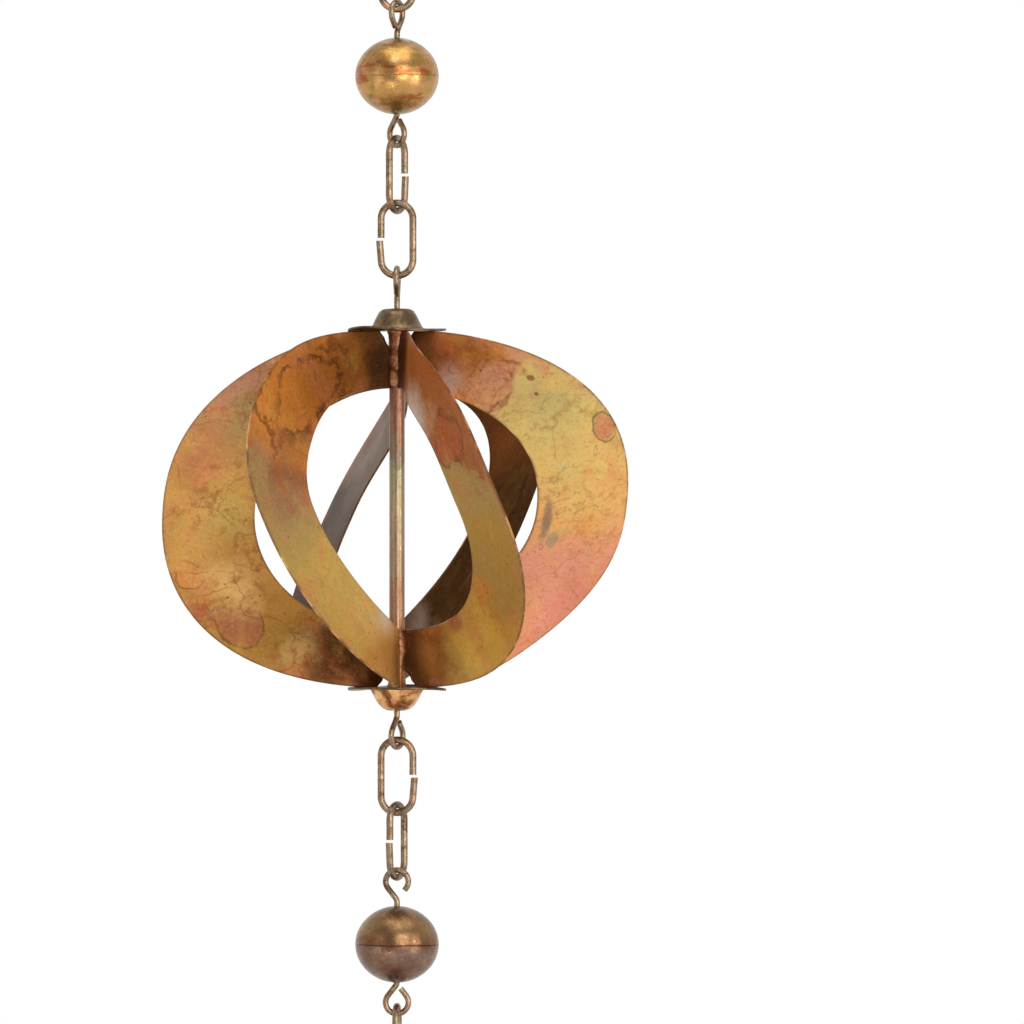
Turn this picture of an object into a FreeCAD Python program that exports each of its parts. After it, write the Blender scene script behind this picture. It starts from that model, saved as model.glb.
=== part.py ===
"""Rain chain with four twisted-blade spinners, hung from an open hook.

Millimetres and degrees. The origin is the underside of the hook's bend, where the chain hangs,
+Z points up, +X to the right and +Y away from the viewer.
"""
import FreeCAD, Part
import math
import os
import Sketcher
from FreeCAD import Placement, Rotation, Vector

# Driving sizes, one spreadsheet cell each
SIZES = {
    # Hook: one bent wire with an eye at its lower end
    "hook_wire": 2.4,
    "hook_bend_radius": 17.5,
    "hook_return_radius": 20.0,
    "hook_stem": 25.0,
    "hook_tip": 19.0,
    "hook_eye_reach": 14.0,
    # Chain link: a bent wire whose two ends leave a split in one leg
    "link_wire": 2.3,
    "link_length": 26.0,
    "link_width": 12.7,
    "link_split": 0.9,
    "link_split_offset": 0.5,
    # Wire eyes on the hook, the balls and the spinners
    "eye_wire": 1.9,
    "eye_loop_radius": 3.7,
    "eye_neck_radius": 2.6,
    "eye_leg_angle": 38.0,
    "eye_end_gap": 0.4,
    "open_eye_gap": 3.0,
    # Free play between a loop and the loop that it hangs in
    "contact_gap": 0.3,
    # Ball: two pressed half shells on a wire
    "ball_width": 27.2,
    "ball_flattening": 2.2,
    "ball_side_inset": 2.1,
    "ball_wall": 0.8,
    "ball_eye_reach_up": 24.2,
    "ball_eye_reach_down": 22.6,
    # Spinner: caps and discs clamp a tube, and the blades are brazed to tube and discs
    "wire_clearance": 0.15,
    "tube_diameter": 5.0,
    "disc_diameter": 32.6,
    "disc_thickness": 0.8,
    "cap_wall": 0.7,
    "upper_cap_base": 17.4,
    "upper_cap_top": 9.5,
    "upper_cap_height": 6.5,
    "lower_cap_base": 17.3,
    "lower_cap_top": 5.4,
    "lower_cap_height": 6.9,
    "spinner_eye_reach_up": 78.4,
    "spinner_eye_reach_down": 77.6,
    # Blade: a twisted crescent of sheet
    "blade_count": 6,
    "blade_thickness": 0.7,
    "blade_height": 116.0,
    "blade_width": 154.0,
    "blade_fullness": 2.35,
    "blade_twist": 83.0,
    "blade_hollow_width": 94.0,
    "blade_hollow_height": 79.0,
    "blade_hollow_fullness": 2.1,
    "blade_relief": 6.4,
    "blade_braze_gap": 0.05,
}

# The chain from the hook down: piece, turn of its upper loop, turn of its lower loop.
# A loop at turn 0 faces the viewer.
HANGING = [
    ("link", 0, 0),
    ("link", 90, 90),
    ("link", 0, 0),
    ("ball", 62, -50),
    ("link", 62, 62),
    ("link", 176, 176),
    ("spinner", 86, 60),
    ("link", -4, -4),
    ("link", 244, 244),
    ("ball", 174, 0),
    ("link", 86, 86),
    ("link", 0, 0),
    ("spinner", 88, 86),
    ("link", 4, 4),
    ("link", 68, 68),
    ("ball", -4, 74),
    ("link", 0, 0),
    ("link", 62, 62),
    ("spinner", -10, -30),
    ("link", 45, 45),
    ("link", -40, -40),
    ("ball", 35, -30),
    ("link", 45, 45),
    ("link", -45, -45),
    ("spinner", 25, 75),
    ("link", 0, 0),
]
HOOK_EYE_TURN = 90

# Eyes that were left open, by piece and end
OPEN_EYES = [("ball_2_eye_wire", "upper")]

# Turn of each spinner's first blade at mid-height, counted from +X
SPINNER_TURNS = [56.0, 4.0, 51.0, 2.0]

# Blades bent round by hand, off their even places, for each spinner: blade number, then the
# degrees at its upper end, its upper quarter, its middle and its lower quarter
BLADE_BENDS = [
    {
        2: (0, -5, -8, 0),
        3: (0, -4, -3, -5),
        4: (0, 7, 0, 0),
        5: (27, 5, 0, -2),
        6: (0, 0, 18, 14),
    },
    {1: (0, 0, 5, 5), 3: (0, 0, -3, -2), 4: (0, -2, 11, 7)},
    {1: (0, 0, 0, 4), 2: (0, -4, 0, 0), 4: (0, 2, -5, -5), 5: (0, -5, 2, 0)},
    {3: (0, -2, -6, 0), 4: (0, 0, 12, 0), 6: (0, -4, -10, 4)},
]
EVEN = (0, 0, 0, 0)

# Sections in each half of a blade's loft
BLADE_STEPS = 8

# How far the middle of a ball's crown lies below the ball's own middle
DOME_DROP = (
    "(Sizes.ball_side_inset ^ 2 - (Sizes.ball_side_inset - Sizes.ball_flattening / 2) ^ 2)"
    " / (2 * Sizes.ball_side_inset - Sizes.ball_flattening)"
)

UP = Vector(0, 0, 1)
ALONG_X = Vector(1, 0, 0)

doc = FreeCAD.newDocument("rain_chain")
sheet = doc.addObject("Spreadsheet::Sheet", "Sizes")
pieces = []


def fill_sheet():
    for row, (alias, value) in enumerate(SIZES.items(), start=1):
        sheet.set(f"A{row}", alias)
        sheet.set(f"B{row}", str(value))
        sheet.setAlias(f"B{row}", alias)
    doc.recompute()


def size(alias):
    return float(sheet.get(alias))


def new_body(label):
    body = doc.addObject("PartDesign::Body", label)
    body.Label = label
    pieces.append(body)
    return body


def new_sketch(body, name, role, offset=None):
    sketch = body.newObject("Sketcher::SketchObject", name)
    plane = next(f for f in body.Origin.OriginFeatures if f.Role == role)
    sketch.AttachmentSupport = [(plane, "")]
    sketch.MapMode = "FlatFace"
    if offset:
        sketch.AttachmentOffset = offset
    return sketch


def rule(sketch, kind, *refs):
    sketch.addConstraint(Sketcher.Constraint(kind, *refs))


def measure(sketch, name, kind, refs, expression):
    """A dimension of the sketch, bound to the sheet."""
    found = sketch.evalExpression(expression)
    value = float(getattr(found, "Value", found))
    if kind == "Angle":
        value = math.radians(value)
    index = sketch.addConstraint(Sketcher.Constraint(kind, *refs, value))
    sketch.renameConstraint(index, name)
    sketch.setExpression(f"Constraints.{name}", expression)


def line(sketch, start, end):
    return sketch.addGeometry(Part.LineSegment(Vector(*start, 0), Vector(*end, 0)), False)


def arc(sketch, centre, radius, first, last):
    """Counter-clockwise from the first angle to the last, in degrees."""
    circle = Part.Circle(Vector(*centre, 0), Vector(0, 0, 1), radius)
    bow = Part.ArcOfCircle(circle, math.radians(first), math.radians(last))
    return sketch.addGeometry(bow, False)


def ring(sketch, diameters):
    """Concentric circles about the sketch's origin: (name, diameter expression) pairs."""
    for name, expression in diameters:
        radius = float(sketch.evalExpression(expression)) / 2
        circle = sketch.addGeometry(Part.Circle(Vector(), Vector(0, 0, 1), radius), False)
        rule(sketch, "Coincident", circle, 3, -1, 1)
        measure(sketch, name, "Diameter", (circle,), expression)


def wire_section(body, diameter, offset=None, shift=None):
    """The round section that a wire's pipe carries along its path."""
    sketch = new_sketch(body, "section", "XY_Plane", offset)
    radius = float(sketch.evalExpression(diameter)) / 2
    across = float(sketch.evalExpression(shift)) if shift else 0.0
    circle = sketch.addGeometry(Part.Circle(Vector(across, 0, 0), Vector(0, 0, 1), radius), False)
    if shift:
        rule(sketch, "PointOnObject", circle, 3, -1)
        measure(sketch, "shift", "DistanceX", (-1, 1, circle, 3), shift)
    else:
        rule(sketch, "Coincident", circle, 3, -1, 1)
    measure(sketch, "wire", "Diameter", (circle,), diameter)
    return sketch


def pipe(body, name, section, path):
    feature = body.newObject("PartDesign::AdditivePipe", name)
    feature.Profile = section
    feature.Spine = (path, [f"Edge{n + 1}" for n in range(len(path.Geometry))])
    return feature


def pad(body, sketch, length):
    feature = body.newObject("PartDesign::Pad", "pad")
    feature.Profile = sketch
    feature.setExpression("Length", length)
    return feature


def revolve(body, sketch):
    feature = body.newObject("PartDesign::Revolution", "revolution")
    feature.Profile = sketch
    feature.ReferenceAxis = (sketch, ["V_Axis"])
    feature.Angle = 360
    return feature


def make_link(label):
    """A split link, its long way upright and facing the viewer, centred on its own origin."""
    body = new_body(label)
    bend = "(Sizes.link_width - Sizes.link_wire) / 2"
    leg = "(Sizes.link_length - Sizes.link_width) / 2"
    half_split = size("link_split") / 2
    radius = (size("link_width") - size("link_wire")) / 2
    straight = (size("link_length") - size("link_width")) / 2
    path = new_sketch(body, "path", "XZ_Plane")
    upper = line(path, (radius, half_split), (radius, straight))
    top = arc(path, (0, straight), radius, 0, 180)
    back = line(path, (-radius, straight), (-radius, -straight))
    bottom = arc(path, (0, -straight), radius, 180, 360)
    lower = line(path, (radius, -straight), (radius + size("link_split_offset"), -half_split))
    rule(path, "Coincident", upper, 2, top, 1)
    rule(path, "Coincident", top, 2, back, 1)
    rule(path, "Coincident", back, 2, bottom, 1)
    rule(path, "Coincident", bottom, 2, lower, 1)
    for leg_line in (upper, back):
        rule(path, "Vertical", leg_line)
    for bow in (top, bottom):
        rule(path, "PointOnObject", bow, 3, -2)
        rule(path, "Horizontal", bow, 3, bow, 1)
        rule(path, "Horizontal", bow, 3, bow, 2)
    measure(path, "bend", "Radius", (top,), bend)
    measure(path, "rise", "DistanceY", (-1, 1, top, 3), leg)
    measure(path, "drop", "DistanceY", (bottom, 3, -1, 1), leg)
    measure(path, "split_top", "DistanceY", (-1, 1, upper, 1), "Sizes.link_split / 2")
    measure(path, "split_foot", "DistanceY", (lower, 2, -1, 1), "Sizes.link_split / 2")
    measure(path, "offset", "DistanceX", (-1, 1, lower, 2), f"{bend} + Sizes.link_split_offset")
    lift = Placement(Vector(0, 0, half_split), Rotation())
    pipe(body, "wire", wire_section(body, "Sizes.link_wire", lift, bend), path)
    return body


def eye_path(body, name, reach, turn, upward, gap="eye_end_gap"):
    """An eye at the end of a wire that leaves the body's origin straight up or down.

    reach is the distance from the origin to the middle of the wire at the eye's far end, and gap
    is what the wire's end leaves free beside its own leg.
    """
    flip = Rotation(UP, 0 if upward else 180)
    offset = Placement(Vector(), Rotation(Vector(0, 1, 0), turn) * flip)
    path = new_sketch(body, name, "XZ_Plane", offset)
    loop_radius = size("eye_loop_radius")
    neck_radius = size("eye_neck_radius")
    angle = size("eye_leg_angle")
    sine = math.sin(math.radians(angle))
    cosine = math.cos(math.radians(angle))
    centre = size(reach) - loop_radius
    leg_length = (loop_radius * cosine - neck_radius * (1 - cosine)) / sine
    end_length = (loop_radius * cosine - (size("eye_wire") + size(gap)) / 2) / sine
    stem_end = centre - loop_radius * sine - leg_length * cosine - neck_radius * sine
    neck_end = (neck_radius * (1 - cosine), stem_end + neck_radius * sine)
    touch = (loop_radius * cosine, centre - loop_radius * sine)
    far_touch = (-touch[0], touch[1])
    far_end = (far_touch[0] + end_length * sine, far_touch[1] - end_length * cosine)
    stem = line(path, (0, 0), (0, stem_end))
    neck = arc(path, (neck_radius, stem_end), neck_radius, 180 - angle, 180)
    leg = line(path, neck_end, touch)
    loop = arc(path, (0, centre), loop_radius, -angle, 180 + angle)
    end = line(path, far_touch, far_end)
    rule(path, "Coincident", stem, 1, -1, 1)
    rule(path, "Vertical", stem)
    rule(path, "Tangent", stem, 2, neck, 2)
    rule(path, "Tangent", neck, 1, leg, 1)
    rule(path, "Tangent", leg, 2, loop, 1)
    rule(path, "Tangent", loop, 2, end, 1)
    rule(path, "PointOnObject", loop, 3, -2)
    measure(path, "loop", "Radius", (loop,), "Sizes.eye_loop_radius")
    measure(path, "neck", "Radius", (neck,), "Sizes.eye_neck_radius")
    measure(path, "centre", "DistanceY", (-1, 1, loop, 3), f"Sizes.{reach} - Sizes.eye_loop_radius")
    measure(path, "spread", "Angle", (leg, 1, -2, 1), "Sizes.eye_leg_angle")
    measure(path, "closing", "Angle", (-2, 1, end, 2), "Sizes.eye_leg_angle")
    measure(path, "gap", "DistanceX", (end, 2, -1, 1), f"(Sizes.eye_wire + Sizes.{gap}) / 2")
    return path


def make_double_eye(label, reach_up, reach_down, turn_up, turn_down):
    """A straight wire with an eye at each end."""
    body = new_body(label)
    section = wire_section(body, "Sizes.eye_wire")
    ends = (("upper", reach_up, turn_up, True), ("lower", reach_down, turn_down, False))
    for end, reach, turn, upward in ends:
        gap = "open_eye_gap" if (label, end) in OPEN_EYES else "eye_end_gap"
        path = eye_path(body, f"{end}_path", reach, turn, upward, gap)
        pipe(body, f"{end}_eye", section, path)
    return body


def make_hook(label):
    """The hanging hook. Its own origin is where the stem goes over into the eye."""
    body = new_body(label)
    bend = size("hook_bend_radius")
    back = size("hook_return_radius")
    stem_end = size("hook_stem")
    angle = math.degrees(math.acos(back / (bend + back)))
    centre = stem_end + (bend + back) * math.sin(math.radians(angle))
    tip = size("hook_tip")
    path = new_sketch(body, "hook_path", "XZ_Plane")
    stem = line(path, (0, 0), (0, stem_end))
    swan = arc(path, (back, stem_end), back, 180 - angle, 180)
    bow = arc(path, (0, centre), bend, -angle, 180)
    end = line(path, (-bend, centre), (-bend, centre - tip))
    rule(path, "Coincident", stem, 1, -1, 1)
    rule(path, "Vertical", stem)
    rule(path, "Tangent", stem, 2, swan, 2)
    rule(path, "Tangent", swan, 1, bow, 1)
    rule(path, "Tangent", bow, 2, end, 1)
    rule(path, "PointOnObject", bow, 3, -2)
    rule(path, "Vertical", end)
    measure(path, "stem", "DistanceY", (stem, 1, stem, 2), "Sizes.hook_stem")
    measure(path, "bend", "Radius", (bow,), "Sizes.hook_bend_radius")
    measure(path, "return", "Radius", (swan,), "Sizes.hook_return_radius")
    measure(path, "tip", "DistanceY", (end, 2, end, 1), "Sizes.hook_tip")
    section = wire_section(body, "Sizes.hook_wire")
    pipe(body, "hook_wire", section, path)
    pipe(body, "eye", section, eye_path(body, "eye_path", "hook_eye_reach", HOOK_EYE_TURN, False))
    return body, centre + bend - size("hook_wire") / 2


def make_half_shell(label):
    """The upper half of a ball: a pressed dome with round sides, a flatter crown and a wire hole."""
    body = new_body(label)
    half_width = size("ball_width") / 2
    half_height = half_width - size("ball_flattening") / 2
    aside = size("ball_side_inset")
    side = half_width - aside
    wall = size("ball_wall")
    hole = size("eye_wire") / 2 + size("wire_clearance")
    above = half_height - side
    drop = (aside**2 - above**2) / (2 * above)
    crown = half_height + drop
    join = math.degrees(math.atan2(drop, aside))
    sketch = new_sketch(body, "dome", "XZ_Plane")
    bows = []
    for depth in (0, wall):
        bow = arc(sketch, (aside, 0), side - depth, 0, join)
        top = math.degrees(math.acos(hole / (crown - depth)))
        bows.append((bow, arc(sketch, (0, -drop), crown - depth, join, top)))
    (outer_side, outer_crown), (inner_side, inner_crown) = bows
    rim = line(sketch, (half_width - wall, 0), (half_width, 0))
    heights = [math.sqrt((crown - depth) ** 2 - hole**2) - drop for depth in (0, wall)]
    bore = line(sketch, (hole, heights[0]), (hole, heights[1]))
    rule(sketch, "Tangent", outer_side, 2, outer_crown, 1)
    rule(sketch, "Coincident", inner_side, 2, inner_crown, 1)
    rule(sketch, "Coincident", outer_side, 3, inner_side, 3)
    rule(sketch, "Coincident", outer_crown, 3, inner_crown, 3)
    rule(sketch, "PointOnObject", outer_side, 3, -1)
    rule(sketch, "PointOnObject", outer_crown, 3, -2)
    rule(sketch, "Coincident", rim, 1, inner_side, 1)
    rule(sketch, "Coincident", rim, 2, outer_side, 1)
    rule(sketch, "PointOnObject", rim, 1, -1)
    rule(sketch, "PointOnObject", rim, 2, -1)
    rule(sketch, "Coincident", bore, 1, outer_crown, 2)
    rule(sketch, "Coincident", bore, 2, inner_crown, 2)
    rule(sketch, "Vertical", bore)
    measure(sketch, "width", "DistanceX", (-1, 1, rim, 2), "Sizes.ball_width / 2")
    measure(sketch, "side", "Radius", (outer_side,), "Sizes.ball_width / 2 - Sizes.ball_side_inset")
    measure(sketch, "height", "DistanceY", (outer_crown, 3, -1, 1), DOME_DROP)
    measure(sketch, "wall", "DistanceX", (rim, 1, rim, 2), "Sizes.ball_wall")
    hole_expression = "Sizes.eye_wire / 2 + Sizes.wire_clearance"
    measure(sketch, "hole", "DistanceX", (-1, 1, bore, 1), hole_expression)
    revolve(body, sketch)
    return body


def make_cap(label, name):
    """A pressed cap, open below, its rim on the ground plane and a wire hole in its crown."""
    body = new_body(label)
    base = size(f"{name}_base") / 2
    crown = size(f"{name}_top") / 2
    height = size(f"{name}_height")
    wall = size("cap_wall")
    hole = size("eye_wire") / 2 + size("wire_clearance")
    slope = base - crown
    radius = (slope**2 + height**2) / (2 * slope)
    middle = base - radius
    inside_radius = radius - wall
    inside_height = height - wall
    inside_crown = middle + math.sqrt(inside_radius**2 - inside_height**2)
    outside_angle = math.degrees(math.atan2(height, crown - middle))
    inside_angle = math.degrees(math.atan2(inside_height, inside_crown - middle))
    sketch = new_sketch(body, "cap", "XZ_Plane")
    outside = arc(sketch, (middle, 0), radius, 0, outside_angle)
    top = line(sketch, (crown, height), (hole, height))
    bore = line(sketch, (hole, height), (hole, inside_height))
    ceiling = line(sketch, (hole, inside_height), (inside_crown, inside_height))
    inside = arc(sketch, (middle, 0), inside_radius, 0, inside_angle)
    rim = line(sketch, (base - wall, 0), (base, 0))
    rule(sketch, "Coincident", outside, 2, top, 1)
    rule(sketch, "Coincident", top, 2, bore, 1)
    rule(sketch, "Coincident", bore, 2, ceiling, 1)
    rule(sketch, "Coincident", ceiling, 2, inside, 2)
    rule(sketch, "Coincident", inside, 1, rim, 1)
    rule(sketch, "Coincident", rim, 2, outside, 1)
    rule(sketch, "Coincident", outside, 3, inside, 3)
    rule(sketch, "PointOnObject", outside, 3, -1)
    rule(sketch, "PointOnObject", rim, 1, -1)
    rule(sketch, "PointOnObject", rim, 2, -1)
    rule(sketch, "Horizontal", top)
    rule(sketch, "Vertical", bore)
    rule(sketch, "Horizontal", ceiling)
    measure(sketch, "base", "DistanceX", (-1, 1, rim, 2), f"Sizes.{name}_base / 2")
    measure(sketch, "crown", "DistanceX", (-1, 1, top, 1), f"Sizes.{name}_top / 2")
    measure(sketch, "height", "DistanceY", (-1, 1, top, 1), f"Sizes.{name}_height")
    hole_expression = "Sizes.eye_wire / 2 + Sizes.wire_clearance"
    measure(sketch, "hole", "DistanceX", (-1, 1, bore, 1), hole_expression)
    measure(sketch, "rim_wall", "DistanceX", (rim, 1, rim, 2), "Sizes.cap_wall")
    measure(sketch, "crown_wall", "DistanceY", (bore, 2, bore, 1), "Sizes.cap_wall")
    revolve(body, sketch)
    return body


def make_washer(label, diameter, length):
    """A round plate or tube with a hole for the wire, standing on the ground plane."""
    body = new_body(label)
    sketch = new_sketch(body, "ring", "XY_Plane")
    bore = "Sizes.eye_wire + 2 * Sizes.wire_clearance"
    ring(sketch, [("outside", diameter), ("bore", bore)])
    pad(body, sketch, length)
    return body


def edge_reach(outline, angle):
    """From the tube's side to a rounded outline of the blade, at an angle above the level.

    An outline's fullness is 2 for an ellipse and more for a squarer form.
    """
    half_width = size(f"{outline}_width") / 2 - size("tube_diameter") / 2
    half_height = size(f"{outline}_height") / 2
    fullness = size(f"{outline}_fullness")
    across = (math.cos(angle) / half_width) ** fullness
    along = (abs(math.sin(angle)) / half_height) ** fullness
    return (across + along) ** (-1 / fullness)


def blade_turn(angle, bends):
    """Turn of the sheet about the tube: its share of the twist, and how it was bent by hand."""
    end, upper, middle, lower = bends
    turn = -size("blade_twist") * angle / math.pi
    turn += end * max(0, math.sin(angle)) ** 10
    turn += (upper if angle > 0 else lower) * math.sin(2 * angle) ** 2
    return turn + middle * math.cos(angle) ** 2


def make_blade(label, turn, bends, relief):
    """A crescent lofted through sections that fan out from the tube's middle, twisted on the way."""
    tube_side = size("tube_diameter") / 2 + size("blade_braze_gap")
    middle = -size("blade_thickness") / 2
    sections = []
    for step in range(-BLADE_STEPS, BLADE_STEPS + 1):
        angle = math.pi / 2 * step / BLADE_STEPS
        inner = edge_reach("blade_hollow", angle)
        section = doc.addObject("Part::Plane", f"{label}_section")
        section.Length = edge_reach("blade", angle) - inner
        section.setExpression("Width", "Sizes.blade_thickness")
        corner = Vector(tube_side + inner * math.cos(angle), middle, inner * math.sin(angle))
        tilt = Placement(corner, Rotation(Vector(0, 1, 0), -math.degrees(angle)))
        around = Placement(Vector(), Rotation(UP, turn + blade_turn(angle, bends)))
        section.Placement = around * tilt
        sections.append(section)
    sheet_metal = doc.addObject("Part::Loft", f"{label}_sheet")
    sheet_metal.Sections = sections
    sheet_metal.Solid = True
    blade = doc.addObject("Part::Cut", label)
    blade.Base = sheet_metal
    blade.Tool = relief
    return blade


def make_relief():
    """What the blades leave free in the corners between tube and discs."""
    balls = []
    for name, side in (("upper_relief", ""), ("lower_relief", "-")):
        ball = doc.addObject("Part::Sphere", name)
        ball.setExpression("Radius", "Sizes.blade_relief")
        ball.setExpression("Placement.Base.z", f"{side}Sizes.blade_height / 2")
        balls.append(ball)
    relief = doc.addObject("Part::Compound", "relief")
    relief.Links = balls
    return relief


def make_blades(label, number, relief):
    """A spinner's blades, round its tube."""
    count = round(size("blade_count"))
    turn = SPINNER_TURNS[number - 1]
    bends = BLADE_BENDS[number - 1]
    group = doc.addObject("Part::Compound", label)
    group.Label = label
    group.Links = [
        make_blade(f"{label}_{n}", turn + 360 * (n - 1) / count, bends.get(n, EVEN), relief)
        for n in range(1, count + 1)
    ]
    pieces.append(group)
    return group


def place(piece, height, turn=0, upside_down=False):
    flip = Rotation(ALONG_X, 180 if upside_down else 0)
    piece.Placement = Placement(Vector(0, 0, height), Rotation(UP, turn) * flip)


def hang_ball(number, height, turn_up, turn_down):
    name = f"ball_{number}"
    place(make_half_shell(f"{name}_upper_shell"), height)
    place(make_half_shell(f"{name}_lower_shell"), height, upside_down=True)
    wire = make_double_eye(
        f"{name}_eye_wire", "ball_eye_reach_up", "ball_eye_reach_down", turn_up, turn_down
    )
    place(wire, height)


def hang_spinner(number, relief, height, turn_up, turn_down):
    name = f"spinner_{number}"
    half = size("blade_height") / 2
    outside = half + size("disc_thickness")
    place(make_blades(f"{name}_blades", number, relief), height)
    tube = make_washer(f"{name}_tube", "Sizes.tube_diameter", "Sizes.blade_height")
    place(tube, height - half)
    for side, direction in (("upper", 1), ("lower", -1)):
        disc = make_washer(f"{name}_{side}_disc", "Sizes.disc_diameter", "Sizes.disc_thickness")
        place(disc, height + direction * half, upside_down=direction < 0)
        cap = make_cap(f"{name}_{side}_cap", f"{side}_cap")
        place(cap, height + direction * outside, upside_down=direction < 0)
    wire = make_double_eye(
        f"{name}_eye_wire", "spinner_eye_reach_up", "spinner_eye_reach_down", turn_up, turn_down
    )
    place(wire, height)


def hang_chain():
    """Hang each piece in the loop above it, from the hook down."""
    link_reach = (size("link_length") - size("link_wire")) / 2
    reaches = {
        "link": (link_reach, link_reach, size("link_wire")),
        "ball": (size("ball_eye_reach_up"), size("ball_eye_reach_down"), size("eye_wire")),
        "spinner": (
            size("spinner_eye_reach_up"),
            size("spinner_eye_reach_down"),
            size("eye_wire"),
        ),
    }
    hook, saddle = make_hook("hook")
    place(hook, -saddle)
    relief = make_relief()
    low = -saddle - size("hook_eye_reach")
    wire_above = size("hook_wire")
    counts = dict.fromkeys(reaches, 0)
    for kind, turn_up, turn_down in HANGING:
        reach_up, reach_down, wire = reaches[kind]
        height = low + (wire_above + wire) / 2 + size("contact_gap") - reach_up
        counts[kind] += 1
        number = counts[kind]
        if kind == "link":
            place(make_link(f"link_{number:02d}"), height, turn_up)
        elif kind == "ball":
            hang_ball(number, height, turn_up, turn_down)
        else:
            hang_spinner(number, relief, height, turn_up, turn_down)
        low = height - reach_down
        wire_above = wire


def check_document():
    for thing in doc.Objects:
        if "Invalid" in thing.State or "Error" in thing.State:
            raise RuntimeError(f"{thing.Label} failed: {thing.State}")
    for piece in pieces:
        if piece.Shape.isNull() or not piece.Shape.isValid() or not piece.Shape.Solids:
            raise RuntimeError(f"{piece.Label} has no valid solid")


fill_sheet()
hang_chain()
doc.recompute()
check_document()
os.makedirs("parts", exist_ok=True)
for piece in pieces:
    piece.Shape.exportStep(f"parts/{piece.Label}.step")
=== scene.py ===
"""Looks of the rain chain: flame-coloured copper blades, balls, caps and wire, round the CAD frame.

Metres. The chain hangs along -Z from the hook at the origin, and the camera looks along +Y.
"""
import math
from collections import namedtuple

import bpy
import numpy as np
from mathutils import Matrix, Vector


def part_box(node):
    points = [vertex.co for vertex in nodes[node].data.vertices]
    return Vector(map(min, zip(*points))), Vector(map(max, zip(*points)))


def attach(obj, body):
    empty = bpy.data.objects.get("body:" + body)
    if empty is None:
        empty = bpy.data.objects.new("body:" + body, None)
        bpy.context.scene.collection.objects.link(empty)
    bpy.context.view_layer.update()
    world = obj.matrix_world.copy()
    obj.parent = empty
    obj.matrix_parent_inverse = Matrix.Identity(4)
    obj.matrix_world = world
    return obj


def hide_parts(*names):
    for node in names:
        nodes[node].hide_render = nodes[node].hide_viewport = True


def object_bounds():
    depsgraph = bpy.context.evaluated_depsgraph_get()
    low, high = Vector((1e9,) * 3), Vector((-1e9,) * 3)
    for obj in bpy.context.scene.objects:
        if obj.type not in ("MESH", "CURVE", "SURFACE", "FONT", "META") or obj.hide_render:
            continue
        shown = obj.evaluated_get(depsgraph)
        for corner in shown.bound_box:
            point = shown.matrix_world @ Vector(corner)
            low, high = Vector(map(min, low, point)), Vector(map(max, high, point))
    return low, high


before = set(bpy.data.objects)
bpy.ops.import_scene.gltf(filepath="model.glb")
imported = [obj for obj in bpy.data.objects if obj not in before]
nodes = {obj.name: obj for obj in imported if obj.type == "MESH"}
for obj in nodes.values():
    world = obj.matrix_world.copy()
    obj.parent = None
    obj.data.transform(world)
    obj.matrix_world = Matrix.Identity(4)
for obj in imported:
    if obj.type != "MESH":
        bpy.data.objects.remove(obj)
cad_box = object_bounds()

MM = 0.001
SPINNERS = (1, 2, 3, 4)

# Blade form, as in the solids, with a slightly thinner sheet
BLADE_COUNT = 6
BLADE_WIDTH = 154 * MM
BLADE_FULLNESS = 2.35
BLADE_TWIST = math.radians(83)
HOLLOW_WIDTH = 94 * MM
HOLLOW_HEIGHT = 79 * MM
HOLLOW_FULLNESS = 2.1
SHEET = 0.66 * MM
RELIEF = 6.4 * MM
BRAZE_GAP = 0.05 * MM

# The turn of each spinner's first blade, and the hand bends of its blades: at the upper end, in the upper
# half, in the middle and in the lower half, in degrees. A higher power keeps a bend closer to the end
SPINNER_TURNS = (56, 4, 51, 2)
END_BEND_POWER = 10
EVEN = (0, 0, 0, 0)
BLADE_BENDS = (
    {
        2: (0, -5, -8, 0),
        3: (0, -4, -3, -5),
        4: (0, 7, 0, 0),
        5: (27, 5, 0, -2),
        6: (0, 0, 18, 14),
    },
    {1: (0, 0, 5, 5), 3: (0, 0, -3, -2), 4: (0, -2, 11, 7)},
    {1: (0, 0, 0, 4), 2: (0, -4, 0, 0), 4: (0, 2, -5, -5), 5: (0, -5, 2, 0)},
    {3: (0, -2, -6, 0), 4: (0, 0, 12, 0), 6: (0, -4, -10, 4)},
)

# Blade mesh: stations along its main run and from there to each end, steps across, how far the rim
# stands out as a share of the sheet, and the hand-made waviness
MAIN_STATIONS = 97
END_STATIONS = 9
MAIN_END = math.radians(86.4)
STEPS_ACROSS = 17
RIM_BULGE = 0.3
WAVINESS = 0.35 * MM

SHARP_ANGLE = math.radians(50)
LATHE_SEGMENTS = 72

# The close-up of the photograph: its scale, and the pixel of the first spinner's middle
PHOTO_SIZE = 1024
PIXEL = MM / 3.07
SPINNER_PIXEL = (397, 509)


def colour(code):
    """Linear colour of an sRGB hex code."""
    parts = [int(code[i : i + 2], 16) / 255 for i in (1, 3, 5)]
    linear = [c / 12.92 if c <= 0.04045 else ((c + 0.055) / 1.055) ** 2.4 for c in parts]
    return (*linear, 1.0)


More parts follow.
